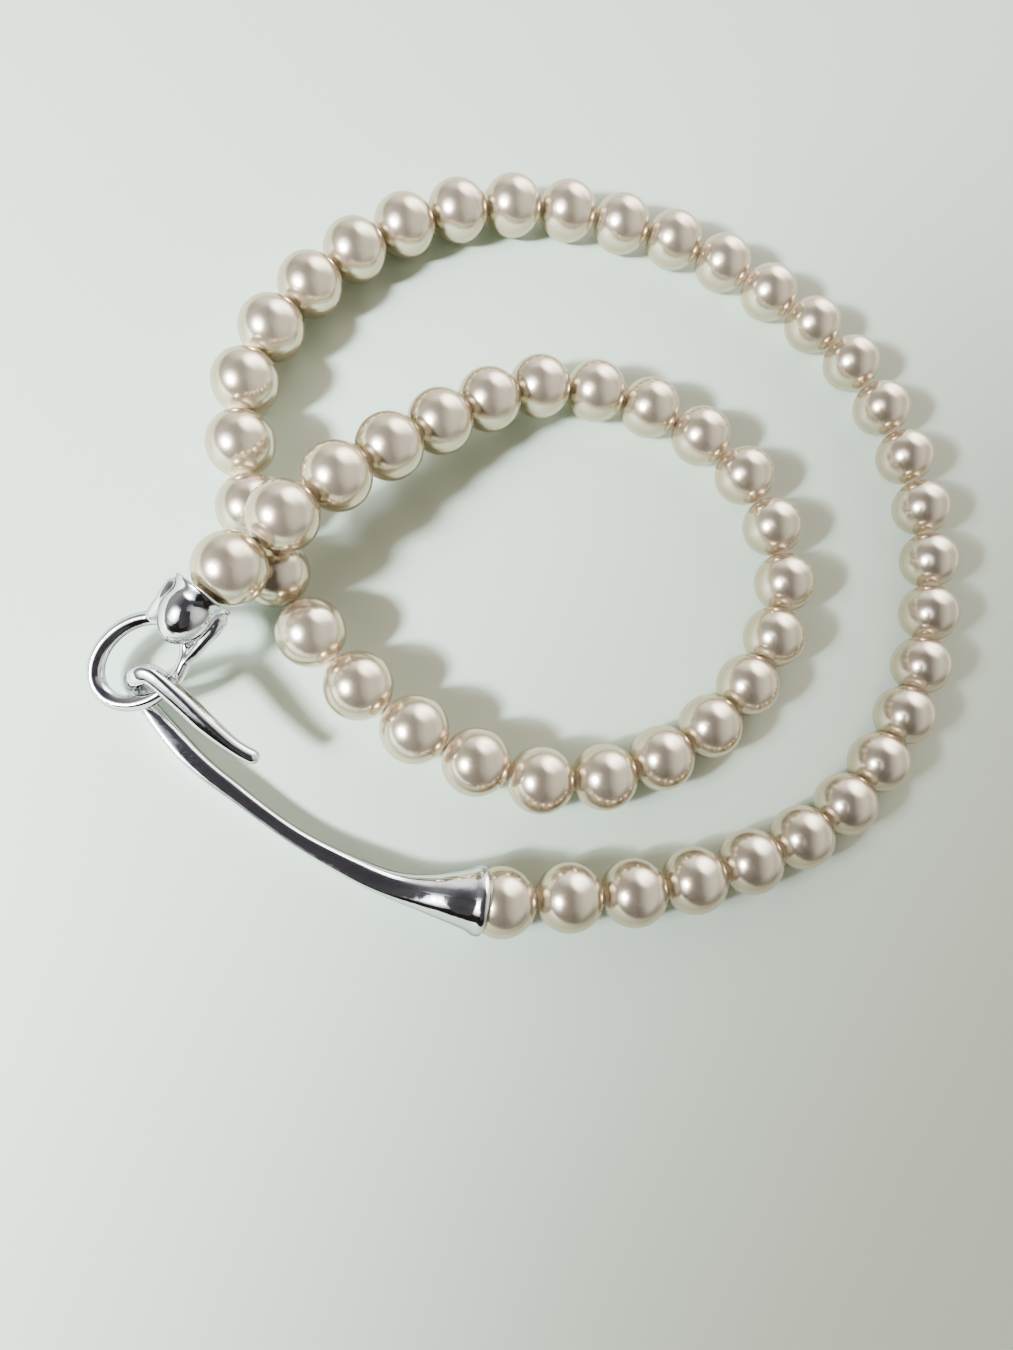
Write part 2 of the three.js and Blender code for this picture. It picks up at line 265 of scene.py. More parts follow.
# %% Relief group
RELIEF_INPUTS = {
    "Vector": "NodeSocketVector", "Scale": "NodeSocketFloat", "Detail": "NodeSocketFloat",
    "Roughness": "NodeSocketFloat", "Strength": "NodeSocketFloat", "Distance": "NodeSocketFloat",
    "Normal": "NodeSocketVector",
}
fine_relief = bpy.data.node_groups.new("fine_relief", "ShaderNodeTree")
for name, kind in RELIEF_INPUTS.items():
    fine_relief.interface.new_socket(name=name, in_out="INPUT", socket_type=kind)
fine_relief.interface.new_socket(name="Height", in_out="OUTPUT", socket_type="NodeSocketFloat")
fine_relief.interface.new_socket(name="Normal", in_out="OUTPUT", socket_type="NodeSocketVector")
given = add_node(fine_relief, "NodeGroupInput")
noise = add_node(fine_relief, "ShaderNodeTexNoise")
bump = add_node(fine_relief, "ShaderNodeBump")
result = add_node(fine_relief, "NodeGroupOutput")
for name in ("Vector", "Scale", "Detail", "Roughness"):
    fine_relief.links.new(given.outputs[name], noise.inputs[name])
for name in ("Strength", "Distance", "Normal"):
    fine_relief.links.new(given.outputs[name], bump.inputs[name])
fine_relief.links.new(noise.outputs["Fac"], bump.inputs["Height"])
fine_relief.links.new(noise.outputs["Fac"], result.inputs["Height"])
fine_relief.links.new(bump.outputs["Normal"], result.inputs["Normal"])


def add_relief(tree, pattern_place, normal_under, **values):
    """The relief group in a material, at a pattern's coordinates and over a normal."""
    node = add_node(tree, "ShaderNodeGroup", node_tree=fine_relief, **values)
    tree.links.new(pattern_place, node.inputs["Vector"])
    tree.links.new(normal_under, node.inputs["Normal"])
    return node


print("relief group:", len(fine_relief.nodes), "nodes")

# %% [markdown]
# ## Nacre
#
# A shell pearl is a bead of shell under many thin coats of ground nacre. The coats throw light back
# a little like metal, so it is a warm off-white that mirrors its surroundings softly, under a clear
# and smoother last coat. It also has an overtone: the coats tint the light by the slant at which
# they are seen, greyer part of the way out and rose-white towards the edge. A dull white bead with
# gloss would look like plastic. So the Principled shader is made mostly metallic and a little
# rough, with a clear coat over it and a trace of light let into the body. The overtone is a layer
# weight turned into colours, and the same ramp holds painted reflection and painted shade too: two
# thin dark lines partway out, with pale bands beside them, are painted reflection lines, and the
# very rim is painted darker. Near the bore the metal look ends, and a pale warm tint is painted
# there, painted light that lifts the dark reflections where neighbouring pearls meet. The pearl's
# own UV map gives the mask for both: its V runs from one end of the bore to the other.

# %% Nacre colours
BODY_DEEP, BODY_PALE = (0.59, 0.513, 0.387), (0.66, 0.583, 0.449)
BODY_CLOUDS = [(0.35, BODY_DEEP), (0.65, BODY_PALE)]
# Partly overtone, partly painted: the dips at 0.41 and 0.79 and the pale bands beside them are
# painted reflection lines, and the darker last stop is painted shade at the rim.
OVERTONE_AND_PAINTED_LINES = [
    (0.0, (0.92, 0.90, 0.90)), (0.20, (1.0, 1.0, 1.0)), (0.26, (0.88, 0.85, 0.81)),
    (0.37, (0.84, 0.80, 0.75)), (0.41, (0.74, 0.68, 0.62)), (0.46, (1.0, 0.92, 0.88)),
    (0.70, (1.0, 0.93, 0.90)), (0.79, (0.80, 0.73, 0.70)), (0.86, (0.96, 0.88, 0.84)),
    (1.0, (0.66, 0.60, 0.54)),
]
# Painted light: a pale warm tint round the bore that lifts the dark reflections between pearls.
PAINTED_LIGHT_AT_BORE = (0.92, 0.85, 0.74)
BORE_EDGE = 0.03  # shares of the way from one end of the bore to the other
TINT_END = 0.11
METAL_START = 0.14


def from_both_ends(reach, at_bore, beyond):
    """Ramp stops along a pearl that are the same from either end of its bore."""
    near_end = [(BORE_EDGE, at_bore), (reach, beyond)]
    far_end = [(1 - reach, beyond), (1 - BORE_EDGE, at_bore)]
    return near_end + far_end


nacre, tree, shader = new_material("nacre")
coordinates = add_node(tree, "ShaderNodeTexCoord")
surface = add_node(tree, "ShaderNodeNewGeometry")
along_bore = add_node(tree, "ShaderNodeSeparateXYZ")
tree.links.new(coordinates.outputs["UV"], along_bore.inputs[0])
clouds = add_node(tree, "ShaderNodeTexNoise", in_Scale=190.0, in_Detail=3.0, in_Roughness=0.5)
tree.links.new(coordinates.outputs["Object"], clouds.inputs["Vector"])
body = ramp(tree, clouds.outputs["Fac"], BODY_CLOUDS)
facing = add_node(tree, "ShaderNodeLayerWeight", in_Blend=0.4)
# The overtone ramp, with its painted reflection lines and painted rim shade, tints the body.
overtone_and_painted_lines = ramp(tree, facing.outputs["Facing"], OVERTONE_AND_PAINTED_LINES)
tinted = multiply_colours(tree, body, overtone_and_painted_lines)
at_bore = ramp(tree, along_bore.outputs["Y"], from_both_ends(TINT_END, WHITE, BLACK))
# The painted warm light round the bore goes over the tinted body.
colour = blend_colours(tree, at_bore, tinted, PAINTED_LIGHT_AT_BORE)
tree.links.new(colour, shader.inputs["Base Color"])

# %% Nacre surface
METAL_AT_BORE, METAL_LOOK = 0.1, 0.88
metal_stops = from_both_ends(METAL_START, grey(METAL_AT_BORE), grey(METAL_LOOK))
tree.links.new(ramp(tree, along_bore.outputs["Y"], metal_stops), shader.inputs["Metallic"])
ripples = add_relief(
    tree, coordinates.outputs["Object"], surface.outputs["Normal"],
    in_Scale=1100.0, in_Detail=3.0, in_Roughness=0.6, in_Strength=0.12, in_Distance=0.00004,
)
tree.links.new(ripples.outputs["Normal"], shader.inputs["Normal"])
shader.inputs["Roughness"].default_value = 0.21
shader.inputs["Specular Tint"].default_value = (0.66, 0.60, 0.51, 1)
shader.inputs["IOR"].default_value = 1.6
shader.inputs["Subsurface Weight"].default_value = 0.1
shader.inputs["Subsurface Radius"].default_value = (0.002, 0.0014, 0.001)
shader.inputs["Subsurface Scale"].default_value = 1.0
shader.inputs["Coat Weight"].default_value = 0.8
shader.inputs["Coat Roughness"].default_value = 0.07
shader.inputs["Coat IOR"].default_value = 1.45
print("nacre:", len(tree.nodes), "nodes")

# %% [markdown]
# ## Pearls
#
# A pearl is a drilled ball. A ready-made sphere has no bore, and cutting one out of it with a
# boolean would leave long thin faces and spoil the shading. So each pearl is a sphere whose poles
# lie on the bore: the fan of faces round each pole is extruded and pushed in, which leaves a clean
# hole with an edge at each end. The two holes don't meet: each is only as deep as anyone can see
# into it. The sphere's UV map comes with it. The radius is a hair more than the
# plain balls', so that neighbours all but touch, as they do on a tightly strung thread.

# %% Pearls
PEARL_SEGMENTS = 56
PEARL_RINGS = 36
POLE_REACH = 0.28 * MM  # takes in the middles of the fan of faces at a pole, and no others
BORE_DEPTH = 1.2 * MM
VISIBLE_RADIUS = 4.06 * MM


def faces_at_pole(bm, end):
    """The fan of faces round the pole at one end of a sphere."""
    fan = []
    for face in bm.faces:
        middle = face.calc_center_median()
        if middle.xy.length < POLE_REACH and middle.z * end > 0:
            fan.append(face)
    return fan


def pearl(number):
    """A drilled pearl as a bmesh, in its place on the string."""
    centre, bore = centres[number - 1], bores[number - 1]
    turn = bore.to_track_quat("Z", "Y").to_matrix().to_4x4()
    bm = bmesh.new()
    bm.loops.layers.uv.new("along_bore")
    bmesh.ops.create_uvsphere(
        bm, u_segments=PEARL_SEGMENTS, v_segments=PEARL_RINGS, radius=VISIBLE_RADIUS, calc_uvs=True
    )
    for end in (-1, 1):
        fan = faces_at_pole(bm, end)
        hole = bmesh.ops.extrude_face_region(bm, geom=fan)
        pushed = [part for part in hole["geom"] if isinstance(part, bmesh.types.BMVert)]
        bmesh.ops.delete(bm, geom=fan, context="FACES")
        bmesh.ops.translate(bm, vec=(0, 0, -end * BORE_DEPTH), verts=pushed)
    bmesh.ops.recalc_face_normals(bm, faces=bm.faces)
    bmesh.ops.transform(bm, matrix=Matrix.Translation(centre) @ turn, verts=bm.verts)
    return bm


FIRST_JOINED = 11
LAST_JOINED = 25
JOINED_LENGTH = 3


def plain_node(number):
    """The plain node that a pearl belongs to: pearls 11 to 25 are joined there in threes."""
    if FIRST_JOINED <= number <= LAST_JOINED:
        first = number - (number - FIRST_JOINED) % JOINED_LENGTH
        return f"pearls_{first}_{first + JOINED_LENGTH - 1}"
    return f"pearl_{number:02d}"


for number in range(1, PEARL_COUNT + 1):
    name = f"shell_pearl_{number:02d}"
    finish_piece(pearl(number), name, nacre, plain_node(number))
print("pearls:", PEARL_COUNT)

# %% [markdown]
# ## Thread
#
# The thread shows only as a glint between two pearls. The plain model's own tube is right as it
# is, so it keeps its shape and gets a silk finish: fine slanting bands, for its twist.

# %% Thread
SILK_DARK, SILK_LIGHT = (0.62, 0.52, 0.38), (0.85, 0.78, 0.66)
THREAD_STRETCHES = ("thread_hook_side", "thread_cap_side")
silk, tree, shader = new_material("silk")
coordinates = add_node(tree, "ShaderNodeTexCoord")
twist = add_node(
    tree, "ShaderNodeTexWave", in_Scale=2600.0, in_Distortion=1.5, bands_direction="DIAGONAL"
)
tree.links.new(coordinates.outputs["Object"], twist.inputs["Vector"])
strands = ramp(tree, twist.outputs["Fac"], [(0.2, SILK_DARK), (0.8, SILK_LIGHT)])
tree.links.new(strands, shader.inputs["Base Color"])
shader.inputs["Roughness"].default_value = 0.55
shader.inputs["Sheen Weight"].default_value = 0.3
for name in THREAD_STRETCHES:
    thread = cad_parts[name]
    thread.data.materials.clear()
    thread.data.materials.append(silk)
print("stretches of thread:", len(THREAD_STRETCHES))

# %% [markdown]
# ## Polished silver
#
# The clasp is cast silver, polished by hand. It mirrors the room, so most of its look comes from
# the lamps and from what is bright and dark around it. The material adds what polishing leaves: a
# very faint waviness, and hairline marks that break the reflections up a little. The marks could
# follow the hook's curve through a UV map, but they are so faint that one straight direction does
# for the whole clasp: the noise is squeezed along X, which draws its marks out that way. Plain
# metal shines whitest where it is seen at a slant. Here shade is painted over that: a layer weight
# darkens the metal's colour at a slant, a painted dark outline that keeps the silver apart from the
# pale table, and the shader's tint for its edge darkens it too.

# %% Silver material
MARK_SQUEEZE = 0.12  # of the noise along X: below one, marks are longer along X than across it
MARK_TURN = math.radians(-145)  # comes after the squeeze, so the marks still lie along X
METAL_COLOURS = [(0.3, (0.76, 0.765, 0.78)), (0.7, (0.85, 0.85, 0.85))]
# Painted shade: the metal's colour darkens where it is seen at a slant, so its outline shows dark.
PAINTED_SLANT_SHADE = [(0.5, WHITE), (0.8, (0.74, 0.74, 0.75)), (1.0, (0.22, 0.22, 0.24))]
MARK_ROUGHNESS = [(0.4, grey(0.055)), (0.75, grey(0.13))]
silver, tree, shader = new_material("polished_silver")
coordinates = add_node(tree, "ShaderNodeTexCoord")
surface = add_node(tree, "ShaderNodeNewGeometry")
waves = add_relief(
    tree, coordinates.outputs["Object"], surface.outputs["Normal"],
    in_Scale=420.0, in_Detail=2.0, in_Roughness=0.5, in_Strength=0.2, in_Distance=0.0002,
)
drawn_out = add_node(
    tree, "ShaderNodeMapping", in_Rotation=(0, 0, MARK_TURN), in_Scale=(MARK_SQUEEZE, 1, 1)
)
tree.links.new(coordinates.outputs["Object"], drawn_out.inputs["Vector"])
marks = add_relief(
    tree, drawn_out.outputs["Vector"], waves.outputs["Normal"],
    in_Scale=2600.0, in_Detail=4.0, in_Roughness=0.7, in_Strength=0.2, in_Distance=0.00003,
)
tree.links.new(marks.outputs["Normal"], shader.inputs["Normal"])
tree.links.new(ramp(tree, marks.outputs["Height"], MARK_ROUGHNESS), shader.inputs["Roughness"])
metal = ramp(tree, waves.outputs["Height"], METAL_COLOURS)
# The painted slant shade goes over the metal's colour.
facing = add_node(tree, "ShaderNodeLayerWeight", in_Blend=0.5)
edge = ramp(tree, facing.outputs["Facing"], PAINTED_SLANT_SHADE)
tree.links.new(multiply_colours(tree, metal, edge), shader.inputs["Base Color"])
shader.inputs["Specular Tint"].default_value = (0.45, 0.45, 0.47, 1)
shader.inputs["Metallic"].default_value = 1.0
print("polished silver:", len(tree.nodes), "nodes")

# %% [markdown]
# ## Swept rods
#
# The hook and the wires of the ring cap are rods that change in thickness along a curved line. A
# curve object with a bevel could taper, but it would have one section from end to end, and a
# straight rod bent by a modifier would stretch in the tight bend. So the rod grows instead: it
# starts as a circle, and each new ring of it is extruded from the last one, turned square to the
# line and scaled to the rod's radius there. The section is a superellipse, a circle that a power
# above 2 pushes out towards a square with round corners. Tables give radius, power and roll at a
# few places, and a smooth curve is read between their rows.

# %% Values and places along a line


def smooth_value(table, place):
    """A value between the rows of a table of (place, value), with no corners at the rows."""
    if place <= table[0][0]:
        return table[0][1]
    for i in range(len(table) - 1):
        (x0, y0), (x1, y1) = table[i], table[i + 1]
        if place <= x1:
            before, after = table[max(i - 1, 0)], table[min(i + 2, len(table) - 1)]
            m0 = (y1 - before[1]) / (x1 - before[0])
            m1 = (after[1] - y0) / (after[0] - x0)
            s, span = (place - x0) / (x1 - x0), x1 - x0
            return (
                y0 * (2 * s**3 - 3 * s**2 + 1)
                + m0 * span * (s**3 - 2 * s**2 + s)
                + y1 * (3 * s**2 - 2 * s**3)
                + m1 * span * (s**3 - s**2)
            )
    return table[-1][1]


def measured_line(points, steps):
    """Fine steps along a Catmull-Rom curve, as (distance, point) pairs in millimetres."""
    points = [Vector(p) for p in points]
    line, far = [(0.0, curve_point(points, 0))], 0.0
    for step in range(1, steps + 1):
        there = curve_point(points, step / steps)
        far += (there - line[-1][1]).length
        line.append((far, there))
    return line


def place_on(line, distance):
    """The point and the direction of a measured line at a distance along it."""
    if distance >= line[-1][0]:
        ahead = (line[-1][1] - line[-2][1]).normalized()
        return line[-1][1] + ahead * (distance - line[-1][0]), ahead
    for (d0, p0), (d1, p1) in zip(line, line[1:]):
        if d1 >= distance:
            return p0.lerp(p1, (distance - d0) / (d1 - d0)), (p1 - p0).normalized()


# %% Sweep


def sweep(line, rings, segments, side=None, squareness=((0, 2),), roll=((0, 0),)):
    """A closed rod as a bmesh, with one ring of edges for each (distance along, radius).

    The section is round where squareness is 2, and flatter on its four sides above that.
    The roll turns it round the line, in degrees.
    """
    bm = bmesh.new()
    _, ahead = place_on(line, rings[0][0])
    side = side or ahead.orthogonal()
    last = Matrix.Identity(4)
    ring = bmesh.ops.create_circle(bm, cap_ends=False, segments=segments, radius=1)["verts"]
    for count, (distance, radius) in enumerate(rings):
        point, ahead = place_on(line, distance)
        side = (side - ahead * side.dot(ahead)).normalized()
        turn = Matrix((side, ahead.cross(side), ahead)).transposed().to_4x4()
        turn @= Matrix.Rotation(math.radians(smooth_value(roll, distance)), 4, "Z")
        now = Matrix.Translation((point + MIDDLE) * MM) @ turn @ Matrix.Scale(radius * MM, 4)
        if count:
            corners = set(ring)
            edges = {e for v in ring for e in v.link_edges if corners.issuperset(e.verts)}
            grown = bmesh.ops.extrude_edge_only(bm, edges=list(edges))["geom"]
            ring = [part for part in grown if isinstance(part, bmesh.types.BMVert)]
        power = smooth_value(squareness, distance)
        for corner in ring:
            unit = (last.inverted() @ corner.co).xy.normalized()
            fullness = (abs(unit.x) ** power + abs(unit.y) ** power) ** (-1 / power)
            corner.co = now @ (unit * fullness).to_3d()
        last = now
    bmesh.ops.holes_fill(bm, edges=bm.edges, sides=segments)
    bmesh.ops.recalc_face_normals(bm, faces=bm.faces)
    return bm


# %% [markdown]
# ## The hook
#
# The hook is one casting: a cup that holds the first pearl, a long stem with flattened sides, a
# tight bend and a short free arm with a round tip. The cup could be spun and the stem swept, but a
# seam would show where they meet, so the whole hook is swept in one go. The rings start inside
# the cup, on a sphere round the pearl, come out over the cup's round lip, follow the stem and the
# bend, and close in on the tip.

# %% The hook's sizes, in millimetres along its middle
HOOK_TAPER = [
    (0.4, 3.9), (2.6, 3.15), (5.4, 2.35), (8, 1.8), (11, 1.45), (15, 1.22), (20, 0.98),
    (26, 0.88), (32, 0.98), (38, 1.1), (44, 1), (46, 0.95), (54, 1.05), (60, 1), (64.5, 0.8),
]
HOOK_LIP = [
    (0.1, 3.51), (-0.01, 3.59), (-0.05, 3.72), (0.0, 3.87), (0.14, 3.97), (0.34, 4.01),
    (0.6, 4.0), (0.85, 3.92), (1.1, 3.79), (1.35, 3.64),
]
HOOK_SQUARENESS = [
    (3, 2), (9, 2.5), (15, 4), (38, 5), (43, 2.8), (46, 2.2), (51, 2.8), (60, 2.8), (64.5, 2.2),
]
HOOK_ROLL = [(0, -8), (40, -8), (50, -5), (64.5, -5)]
HOOK_SEGMENTS = 44
HOOK_LINE_STEPS = 900
SEAT_RADIUS = 4.28
RIM_TO_PEARL = 2.35
SEAT_BANDS = 9
STEM_START = 1.6
STEM_STEP = 0.6
BEND_STEP = 0.3
BEND_FROM, BEND_TO = 42, 56
TIP_LENGTH = 0.9
TIP_BANDS = 8

# %% The hook
hook_line = measured_line(HOOK_SPINE, HOOK_LINE_STEPS)
hook_length = hook_line[-1][0]
steepest = math.acos((RIM_TO_PEARL + HOOK_LIP[0][0]) / SEAT_RADIUS)
rings = []
for i in range(1, SEAT_BANDS):
    angle = steepest * i / SEAT_BANDS
    rings.append((math.cos(angle) * SEAT_RADIUS - RIM_TO_PEARL, math.sin(angle) * SEAT_RADIUS))
rings += HOOK_LIP
along = STEM_START
while along < hook_length - TIP_LENGTH:
    rings.append((along, smooth_value(HOOK_TAPER, along)))
    along += BEND_STEP if BEND_FROM < along < BEND_TO else STEM_STEP
for i in range(TIP_BANDS):
    angle = math.pi / 2 * i / TIP_BANDS
    back = hook_length - TIP_LENGTH * (1 - math.sin(angle))
    rings.append((back, HOOK_TAPER[-1][1] * math.cos(angle)))
across = UP.cross(place_on(hook_line, 0)[1]).normalized()
rod = sweep(hook_line, rings, HOOK_SEGMENTS, across, HOOK_SQUARENESS, HOOK_ROLL)
hook = finish_piece(rod, "silver_hook", silver, "hook")
print("hook:", round(hook_length, 1), "mm along its middle,", len(hook.data.polygons), "faces")

# %% [markdown]
# ## The ring cap
#
# The cap is one casting too: a dome whose mouth takes the last pearl, an oval ring that leans on
# the dome's end, and two legs that flow from the mouth's rim into the ring. The ring's wire is
# thick on one side and thin on the other, and its section is a rounded square, rolled a little.
# Cast metal has soft inner corners where its parts meet. A boolean join would leave hard creases
# there, so the parts are joined with a voxel remesh, which makes one skin round them all, and that
# skin is then smoothed, which rounds the creases as casting and polishing do.

# %% The cap's dome
CAP_HEADING, CAP_DROP = -129, 12
RIM_HEADING, RIM_DROP, RIM_DISTANCE = -135, 12, 3.6
CAP_PROFILE = [
    (0.0, 0.72), (1.4, 0.72), (2.3, 0.66), (2.85, 0.36), (3.08, 0.08), (3.26, 0.0), (3.42, 0.08),
    (3.42, 0.26), (3.26, 0.6), (3.03, 1.0), (2.85, 1.4), (2.8, 1.75), (2.86, 2.15), (2.91, 2.6),
    (2.88, 3.1), (2.74, 3.7), (2.5, 4.35), (2.17, 4.95), (1.75, 5.52), (1.25, 6.02), (0.66, 6.39),
    (0.0, 6.54),
]
SPIN_STEPS = 56
SAME_PLACE = 0.001


def pointing(heading, drop):
    """The direction with a heading over the table and a downward drop, in degrees."""
    turn, fall = math.radians(heading), math.radians(drop)
    flat = math.cos(fall)
    return Vector((math.cos(turn) * flat, math.sin(turn) * flat, -math.sin(fall)))


last_pearl = centres[-1] / MM - MIDDLE
rim = last_pearl + pointing(RIM_HEADING, RIM_DROP) * RIM_DISTANCE
cap_axis = pointing(CAP_HEADING, CAP_DROP)
cap_side = cap_axis.cross(UP).normalized()

cap = bmesh.new()
outline = [cap.verts.new((radius, 0, along)) for radius, along in CAP_PROFILE]
edges = [cap.edges.new(pair) for pair in zip(outline, outline[1:])]
bmesh.ops.spin(
    cap, geom=outline + edges, axis=(0, 0, 1), cent=(0, 0, 0), angle=math.tau, steps=SPIN_STEPS,
    use_merge=True,
)
bmesh.ops.remove_doubles(cap, verts=cap.verts, dist=SAME_PLACE)
stand = Matrix((cap_side, cap_axis.cross(cap_side), cap_axis)).transposed().to_4x4()
place = Matrix.Scale(MM, 4) @ Matrix.Translation(rim + MIDDLE) @ stand
bmesh.ops.transform(cap, matrix=place, verts=cap.verts)
bmesh.ops.recalc_face_normals(cap, faces=cap.faces)
print("dome:", len(cap.faces), "faces")

# %% The cap's ring
RING_CENTRE = Vector((-52.8, -18.9, 5.3))
RING_HEADING, RING_DROP = -146, 25
RING_HALF_LENGTH, RING_HALF_WIDTH = 5.47, 4.03
THICK_WIRE, THIN_WIRE, THICK_ANGLE = 0.92, 0.66, -20
RING_SQUARENESS = ((0, 3),)
RING_ROLL = ((0, -26),)
RING_START = math.radians(150)
RING_STEPS = 120
RING_SEGMENTS = 28
OVERLAP = 3
ring_along = pointing(RING_HEADING, RING_DROP)
ring_across = UP.cross(ring_along).normalized()


def on_ring(angle):
    """The middle of the ring's wire at an angle from its far end."""
    along, across = math.cos(angle) * RING_HALF_LENGTH, math.sin(angle) * RING_HALF_WIDTH
    return RING_CENTRE + ring_along * along + ring_across * across


# The ring is swept a little past a full turn, so that its two ends lie inside each other.
ring_line, wire = [], []
far = 0.0
for i in range(RING_STEPS + OVERLAP):
    angle = RING_START + math.tau * i / RING_STEPS
    there = on_ring(angle)
    far += (there - ring_line[-1][1]).length if ring_line else 0.0
    ring_line.append((far, there))
    share = (1 + math.cos(angle - math.radians(THICK_ANGLE))) / 2
    wire.append((far, THIN_WIRE + (THICK_WIRE - THIN_WIRE) * share))
through_ring = ring_along.cross(ring_across)
ring = sweep(ring_line, wire, RING_SEGMENTS, through_ring, RING_SQUARENESS, RING_ROLL)
print("ring:", round(far, 1), "mm of wire")

# %% The cap's legs
LEG_TAPER = [(0, 0.1), (0.03, 0.5), (0.12, 0.76), (0.5, 0.74), (0.85, 0.66), (0.97, 0.5), (1, 0.1)]
LEG_TOP_ALONG = 0.6
LEG_LINE_STEPS = 60
LEG_RINGS = 40
LEG_SEGMENTS = 24
# hand, top across, waist along, waist across, angle on the ring in degrees, stoutness
LEGS = [(-1, 2.95, 2.8, 2.7, 48, 1.25), (1, 3.1, 2.8, 3.15, 50, 1)]


def leg(hand, top_across, waist_along, waist_across, ring_angle, stoutness):
    """A leg as a bmesh, from the mouth's rim past a waist to the ring."""
    angle = math.radians(ring_angle)
    shoulder = RING_CENTRE - ring_along * RING_HALF_LENGTH * math.cos(angle)
    shoulder += ring_across * hand * RING_HALF_WIDTH * math.sin(angle)
    top = rim + cap_axis * LEG_TOP_ALONG - cap_side * hand * top_across
    waist = rim + cap_axis * waist_along - cap_side * hand * waist_across
    line = measured_line([top, waist, shoulder], LEG_LINE_STEPS)
    length = line[-1][0]
    rings = []
    for i in range(LEG_RINGS + 1):
        rings.append((length * i / LEG_RINGS, stoutness * smooth_value(LEG_TAPER, i / LEG_RINGS)))
    return sweep(line, rings, LEG_SEGMENTS)


parts = [cap, ring] + [leg(*row) for row in LEGS]
print("ring cap parts:", len(parts))

# %% Joining and polishing the ring cap
VOXEL = 0.075 * MM
POLISH_ROUNDS = 28
joined = bpy.data.meshes.new("ring_cap_parts")
everything = bmesh.new()
for part in parts:
    part.to_mesh(joined)
    everything.from_mesh(joined)
    part.free()
everything.to_mesh(joined)
everything.free()
rough = bpy.data.objects.new("ring_cap_parts", joined)
bpy.context.scene.collection.objects.link(rough)
remesh = rough.modifiers.new("skin", "REMESH")
remesh.mode = "VOXEL"
remesh.voxel_size = VOXEL
bpy.context.view_layer.update()
skin = bmesh.new()
skin.from_object(rough, bpy.context.evaluated_depsgraph_get())
bpy.data.objects.remove(rough)
for _ in range(POLISH_ROUNDS):
    bmesh.ops.smooth_vert(
        skin, verts=skin.verts, factor=0.5, use_axis_x=True, use_axis_y=True, use_axis_z=True
    )
ring_cap = finish_piece(skin, "silver_ring_cap", silver, "ring_cap")
print("ring cap:", len(ring_cap.data.polygons), "faces")

# %% [markdown]
# ## Table and lamps
#
# The table is a plain pale surface, a little green. Light comes from low on the left, as from one
# window: a small key lamp gives each pearl its bright spot and its shadow to the upper right, and
# a weaker, wider lamp beside it softens that shadow's edge. One large lamp would soften it too, but
# it would spread the bright spots out as well.

# %% Table
TABLE_SIZE = 1.5
TABLE_COLOUR = (0.53, 0.70, 0.632, 1)
table_mesh = bpy.data.meshes.new("table")
bm = bmesh.new()
bmesh.ops.create_grid(bm, x_segments=1, y_segments=1, size=TABLE_SIZE)
bm.to_mesh(table_mesh)
bm.free()
table = bpy.data.objects.new("table", table_mesh)
bpy.context.scene.collection.objects.link(table)
tabletop, tree, shader = new_material("tabletop")
shader.inputs["Base Color"].default_value = TABLE_COLOUR
shader.inputs["Roughness"].default_value = 0.6
table_mesh.materials.append(tabletop)
print("table:", round(2 * TABLE_SIZE, 1), "m wide")

# %% Lamps
# name, place, (width, height), power in watts, colour
LAMPS = [
    ("key", (-0.374, -0.150, 0.277), (0.055, 0.045), 9.6, (1.0, 0.985, 0.95)),
    ("key_side", (-0.392, -0.090, 0.262), (0.075, 0.05), 1.8, (0.98, 0.99, 1.0)),
]


def lamp(name, place, size, power, colour):
    """A rectangular area lamp at a place, facing the middle of the necklace."""
    light = bpy.data.lights.new(name, "AREA")
    light.shape = "RECTANGLE"
    light.size, light.size_y = size
    light.energy = power
    light.color = colour
    holder = bpy.data.objects.new(name, light)
    bpy.context.scene.collection.objects.link(holder)
    holder.matrix_world = Matrix.Translation(place) @ looking(-place, UP).to_4x4()


for name, place, size, power, colour in LAMPS:
    lamp(name, Vector(place), size, power, colour)
print("lamps:", len(LAMPS))

# %% [markdown]
# ## Two cards
#
# Shiny things are lit with cards as much as with lamps. One dark card stands beside the camera. The
# pearls and the silver mirror it, and it gives them the dark patch that makes their highlights
# stand out. Only gloss sees it, so it takes no light from the table. The other card stands before
# the key lamp and does the opposite: nothing mirrors it, and all it does is let the table beyond
# the necklace, at the lower right, fall softly into shade.

# %% Cards
CARD_WIDTH, CARD_HEIGHT = 0.072, 0.150
CARD_PLACE = (-0.022, -0.068, 0.004)  # right, up and back from the camera, so at its lower left
SHADE_PLACE = Vector((-0.189, -0.136, 0.1717))
SHADE_SIZE = 0.102
SHADE_TURN = math.radians(45)
card_paint, tree, shader = new_material("card_paint")
shader.inputs["Base Color"].default_value = (0.018, 0.011, 0.019, 1)
shader.inputs["Roughness"].default_value = 1.0


def card(name, width, height, place, mirrored, shading):
    """A flat card that the camera never sees, and that is mirrored or casts a shadow if told."""
    mesh = bpy.data.meshes.new(name)
    bm = bmesh.new()
    bmesh.ops.create_grid(bm, x_segments=1, y_segments=1, size=0.5)
    bmesh.ops.scale(bm, vec=(width, height, 1), verts=bm.verts)
    bmesh.ops.transform(bm, matrix=place, verts=bm.verts)
    bm.to_mesh(mesh)
    bm.free()
    mesh.materials.append(card_paint)
    piece = bpy.data.objects.new(name, mesh)
    bpy.context.scene.collection.objects.link(piece)
    piece.visible_camera = False
    piece.visible_diffuse = False
    piece.visible_glossy = mirrored
    piece.visible_shadow = shading


